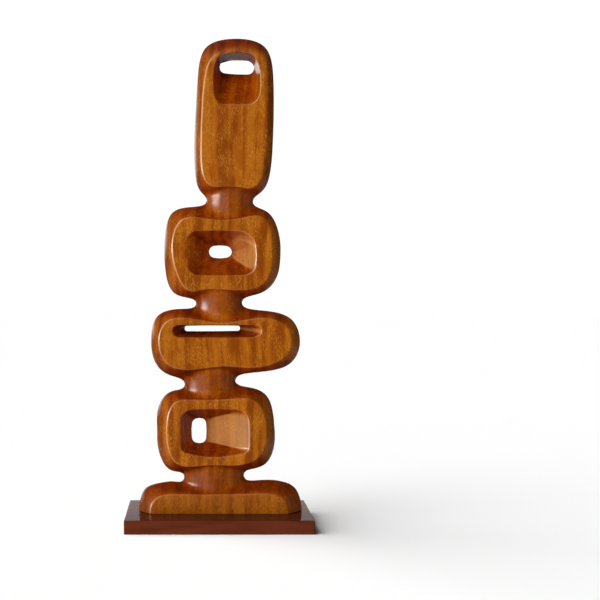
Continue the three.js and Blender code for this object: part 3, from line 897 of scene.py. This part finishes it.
def carved_wood():
    """Lacquered wood with upright ribbons, short pores and golden flecks, and with painted light and
    shade fitted place by place.
    """
    material, nodes, shader = new_material("carved_wood")
    coordinates = nodes.add("ShaderNodeTexCoord").outputs
    place = nodes.in_sizes(coordinates["Object"], (MM, MM, MM))
    normal = coordinates["Normal"]
    height = nodes.axes(place)["Z"]
    tone, mottle, pore = wood_figure(nodes, place, height)
    waists = near_waists(nodes, height)
    measures = {
        "height": height,
        "sideways": nodes.axes(place)["X"],
        "depth": nodes.math("ABSOLUTE", nodes.axes(place)["Y"]),
        "right": nodes.axes(normal)["X"],
        "up": nodes.axes(normal)["Z"],
        "level": nodes.math("ABSOLUTE", nodes.axes(normal)["Z"]),
        "facing": nodes.vector("DOT_PRODUCT", normal, PAINTED_LIGHT_FACING),
        "pore": pore,
        "mottle": mottle,
    }

    def mask(steps, *factors):
        return nodes.product(nodes.mask(measures, steps), *factors)

    off_waists = nodes.one_less(waists)
    off_face = mask(OFF_FACE)
    dark_pores = mask(DARK_PORES)
    dull_crown = mask(DULL_CROWN)
    end_grain = mask(END_GRAIN)
    facets = nodes.math("MAXIMUM", mask(RIGHT_FACETS, off_waists), mask(UPPER_WINDOW_TOP_RIGHT))
    painted_light_share = nodes.math("MULTIPLY_ADD", mask(LEFTWARDS), LEFTWARDS_SHARE, FACET_SHARE)
    arris = mask(ARRIS, nodes.one_less(dull_crown))
    off_window = nodes.math("MAXIMUM", mask(BELOW_LOWER_WINDOW), mask(ABOVE_LOWER_WINDOW))

    to_middle = nodes.math("SUBTRACT", MID_TONE, tone)
    tone = nodes.math("MULTIPLY_ADD", nodes.product(waists, WAIST_EVENING), to_middle, tone)
    colour = nodes.ramp(tone, TONES)
    colour = nodes.mix(colour, mask(GOLD, GOLD_SHARE), GOLD_FLECK)
    colour = nodes.mix(colour, nodes.product(dark_pores, DARK_PORE_SHARE), DARK_WOOD)
    # Painted shade off the flat faces
    colour = nodes.tint(colour, off_face, OFF_FACE_PAINTED_SHADE)
    # Darker crown: partly end grain, partly painted shade
    colour = nodes.tint(colour, mask(CROWN), CROWN_TINT)
    # Painted shade at the waists and low on the base
    colour = nodes.tint(colour, nodes.product(waists, off_face), WAIST_PAINTED_SHADE)
    # Painted light on the window facets that face left
    colour = nodes.mix(colour, nodes.product(facets, painted_light_share), PAINTED_LIGHT_PALE)
    # Painted shade on the far right of the lower window's facet
    colour = nodes.tint(colour, mask(LOWER_WINDOW_RIGHT, facets), FAR_FACET_PAINTED_SHADE)
    # Painted highlights along the arrises: a pale sheen, then a brighter glint where they face left
    colour = nodes.mix(colour, mask(PAINTED_EDGE_SHEEN, arris, PAINTED_EDGE_SHEEN_SHARE), PAINTED_LIGHT_PALE)
    colour = nodes.mix(colour, mask(GLINT, arris, GLINT_SHARE), ARRIS_GLINT)
    # Painted light on the left walls of the windows
    colour = nodes.tint(colour, mask(LEFT_WALLS, off_waists), LEFT_WALL_PAINTED_LIGHT)
    # Painted shade under the lower arrises
    colour = nodes.tint(colour, mask(UNDERCUT, off_window), UNDERCUT_PAINTED_SHADE)
    # Painted shade on the right side of the lower form
    colour = nodes.tint(colour, mask(LOWER_RIGHT_SIDE), RIGHT_SIDE_PAINTED_SHADE)
    colour = nodes.tint(colour, end_grain, END_GRAIN_TINT)

    roughness = nodes.math("MULTIPLY_ADD", mottle, MOTTLE_ROUGHNESS, ROUGHNESS)
    roughness = nodes.math("MULTIPLY_ADD", waists, WAIST_ROUGHNESS, roughness)
    roughness = nodes.math("MULTIPLY_ADD", dull_crown, CROWN_ROUGHNESS, roughness)
    gloss_loss = mask(BELOW_CROWN, end_grain)
    specular = nodes.math("MULTIPLY_ADD", gloss_loss, -SPECULAR, SPECULAR)
    relief = nodes.math("SUBTRACT", mottle, nodes.product(dark_pores, PORE_DENT))
    bump = nodes.add("ShaderNodeBump", {"Height": relief, **RELIEF})
    links = nodes.tree.links
    links.new(colour, shader.inputs["Base Color"])
    links.new(roughness, shader.inputs["Roughness"])
    links.new(specular, shader.inputs["Specular IOR Level"])
    links.new(bump.outputs["Normal"], shader.inputs["Normal"])
    return material


# Wood of the board: linear colours, sizes in millimetres, gloss and relief

DARK_BOARD = (0.112, 0.023, 0.0090)
LIGHT_BOARD = (0.165, 0.036, 0.0150)
BOARD_TONES = ((0.35, DARK_BOARD), (0.66, LIGHT_BOARD))
BOARD_STREAK_SIZE = (60, 7, 7)
BOARD_PORE_SIZE = (7, 0.8, 0.8)
BOARD_STREAK_SHARE = 0.8
BOARD_PORE_SHARE = 0.2
BOARD_ROUGHNESS = 0.11
BOARD_STREAK_ROUGHNESS = 0.05
BOARD_SPECULAR = 0.01
BOARD_RELIEF = {"Strength": 0.05, "Distance": 0.0005}


def board_wood():
    """Dark red-brown wood under a clear gloss, its grain along the board."""
    material, nodes, shader = new_material("plinth_wood")
    place = nodes.add("ShaderNodeTexCoord").outputs["Object"]
    place = nodes.in_sizes(place, (MM, MM, MM))
    streak = nodes.noise(nodes.in_sizes(place, BOARD_STREAK_SIZE), detail=4.0, roughness=0.6)
    pore = nodes.noise(nodes.in_sizes(place, BOARD_PORE_SIZE), detail=1.0)
    streak_tone = nodes.product(streak, BOARD_STREAK_SHARE)
    tone = nodes.math("MULTIPLY_ADD", pore, BOARD_PORE_SHARE, streak_tone)
    roughness = nodes.math("MULTIPLY_ADD", streak, BOARD_STREAK_ROUGHNESS, BOARD_ROUGHNESS)
    bump = nodes.add("ShaderNodeBump", {"Height": tone, **BOARD_RELIEF})
    links = nodes.tree.links
    links.new(nodes.ramp(tone, BOARD_TONES), shader.inputs["Base Color"])
    links.new(roughness, shader.inputs["Roughness"])
    links.new(bump.outputs["Normal"], shader.inputs["Normal"])
    shader.inputs["Specular IOR Level"].default_value = BOARD_SPECULAR
    return material


# Studio: radiance of the surroundings, and their places as steps of the direction for Nodes.mask

AROUND = 0.02
BELOW = 0.13
LOW_GLOW = 0.12
BEHIND = 1.36
BACKDROP = 1.05
WHITE = (1, 1, 1, 1)
CARD = (("Y", 0.55, 0.92), ("Z", 0.180, 0.145), ("Z", -0.02, 0.05), ("X", 0.22, 0.06))
GROUND = (("Z", -0.08, -0.20),)
GLOW = (("Z", -0.04, -0.14), ("Z", -0.40, -0.20), ("Y", 0.80, 0.95))

# Lights: places in metres, angles in degrees. Sunlight comes from the direction of its place.

AIM = Vector((0, 0, 0.4))
SOFTBOX_PLACE = (-2.07, -0.71, 0.48)
SOFTBOX_SIZE = (1.25, 0.55)
SOFTBOX_POWER = 33
CARVING_LIGHTS = dict(
    key_light=dict(place=(-0.310, -0.852, 0.423), angle=40, power=1.15),
    low_light=dict(place=(-0.651, -0.749, -0.122), angle=50, power=1.96),
    side_light=dict(place=(-0.664, 0.242, 0.707), angle=60, power=0.42),
    right_light=dict(place=(0.970, 0.171, -0.174), angle=90, power=0.62),
    back_light=dict(place=(0.0, 1.0, 0.4), angle=60, power=1.6),
)
FLOOR_LIGHTS = dict(
    floor_light=dict(place=(-0.848, 0.0, 0.530), angle=100, power=4.3),
    floor_fill=dict(place=(-0.919, -0.335, 0.208), angle=110, power=3.0),
)
FLOOR_REACH = 20
FLOOR_COLOUR = (0.9, 0.9, 0.9, 1)


def add_floor():
    """Pale dull ground, which the object neither mirrors nor takes light from."""
    mesh = bpy.data.meshes.new("floor")
    corners = [(x * FLOOR_REACH, y * FLOOR_REACH, 0) for x, y in ((-1, -1), (1, -1), (1, 1), (-1, 1))]
    mesh.from_pydata(corners, [], [(0, 1, 2, 3)])
    floor = bpy.data.objects.new("floor", mesh)
    bpy.context.scene.collection.objects.link(floor)
    material, _, shader = new_material("pale_floor")
    shader.inputs["Base Color"].default_value = FLOOR_COLOUR
    shader.inputs["Roughness"].default_value = 1.0
    shader.inputs["Specular IOR Level"].default_value = 0.0
    mesh.materials.append(material)
    floor.visible_glossy = False
    floor.visible_diffuse = False
    return floor


def add_world():
    """White backdrop for the camera, and for the object a dim room with a lit card low behind it.

    The ground is a little brighter than the room, and glows a little more behind the object.
    """
    world = bpy.data.worlds.new("studio")
    bpy.context.scene.world = world
    world.use_nodes = True
    nodes = Nodes(world.node_tree)
    direction = nodes.axes(nodes.add("ShaderNodeTexCoord").outputs["Generated"])
    level = nodes.math("MULTIPLY_ADD", nodes.mask(direction, CARD), BEHIND - AROUND, AROUND)
    level = nodes.math("MULTIPLY_ADD", nodes.mask(direction, GROUND), BELOW - AROUND, level)
    level = nodes.math("MULTIPLY_ADD", nodes.mask(direction, GLOW), LOW_GLOW, level)
    seen = nodes.add("ShaderNodeLightPath").outputs["Is Camera Ray"]
    backdrop, light = (
        nodes.add("ShaderNodeBackground", {"Color": WHITE, "Strength": strength}).outputs[0]
        for strength in (BACKDROP, level))
    mixed = nodes.add("ShaderNodeMixShader", {0: seen, 1: light, 2: backdrop}).outputs[0]
    world.node_tree.links.new(mixed, world.node_tree.nodes["World Output"].inputs["Surface"])


def add_light(name, kind, place, power, receivers):
    """Light on the given collection alone: an area aimed at AIM, or a sun that shines from its place."""
    data = bpy.data.lights.new(name, kind)
    data.energy = power
    light = bpy.data.objects.new(name, data)
    light.location = place
    aim = AIM - Vector(place) if kind == "AREA" else -Vector(place)
    light.rotation_euler = aim.to_track_quat("-Z", "Y").to_euler()
    bpy.context.scene.collection.objects.link(light)
    light.light_linking.receiver_collection = receivers
    return light


def add_broad_light(name, receivers, place, angle, power):
    """Even light from one side, wide enough to be soft, and unseen in reflections."""
    light = add_light(name, "SUN", place, power, receivers)
    light.data.angle = math.radians(angle)
    light.visible_glossy = False
    return light


def receiving(name, objects):
    collection = bpy.data.collections.new(name)
    for item in objects:
        collection.objects.link(item)
    return collection


def add_lights(pieces, floor):
    """Lights for the carving and its board alone, and lights for the floor alone."""
    carving = receiving("carving", pieces)
    ground = receiving("ground", [floor])
    softbox = add_light("softbox", "AREA", SOFTBOX_PLACE, SOFTBOX_POWER, carving)
    softbox.data.shape = "RECTANGLE"
    softbox.data.size, softbox.data.size_y = SOFTBOX_SIZE
    softbox.visible_diffuse = False
    for name, light in CARVING_LIGHTS.items():
        broad = add_broad_light(name, carving, **light)
        broad.light_linking.blocker_collection = carving
    for name, light in FLOOR_LIGHTS.items():
        add_broad_light(name, ground, **light)


add_camera()
totem = make_totem(carved_wood())
plinth = make_plinth(board_wood())
add_world()
add_lights([totem, plinth], add_floor())
bpy.context.scene.view_settings.view_transform = "Standard"
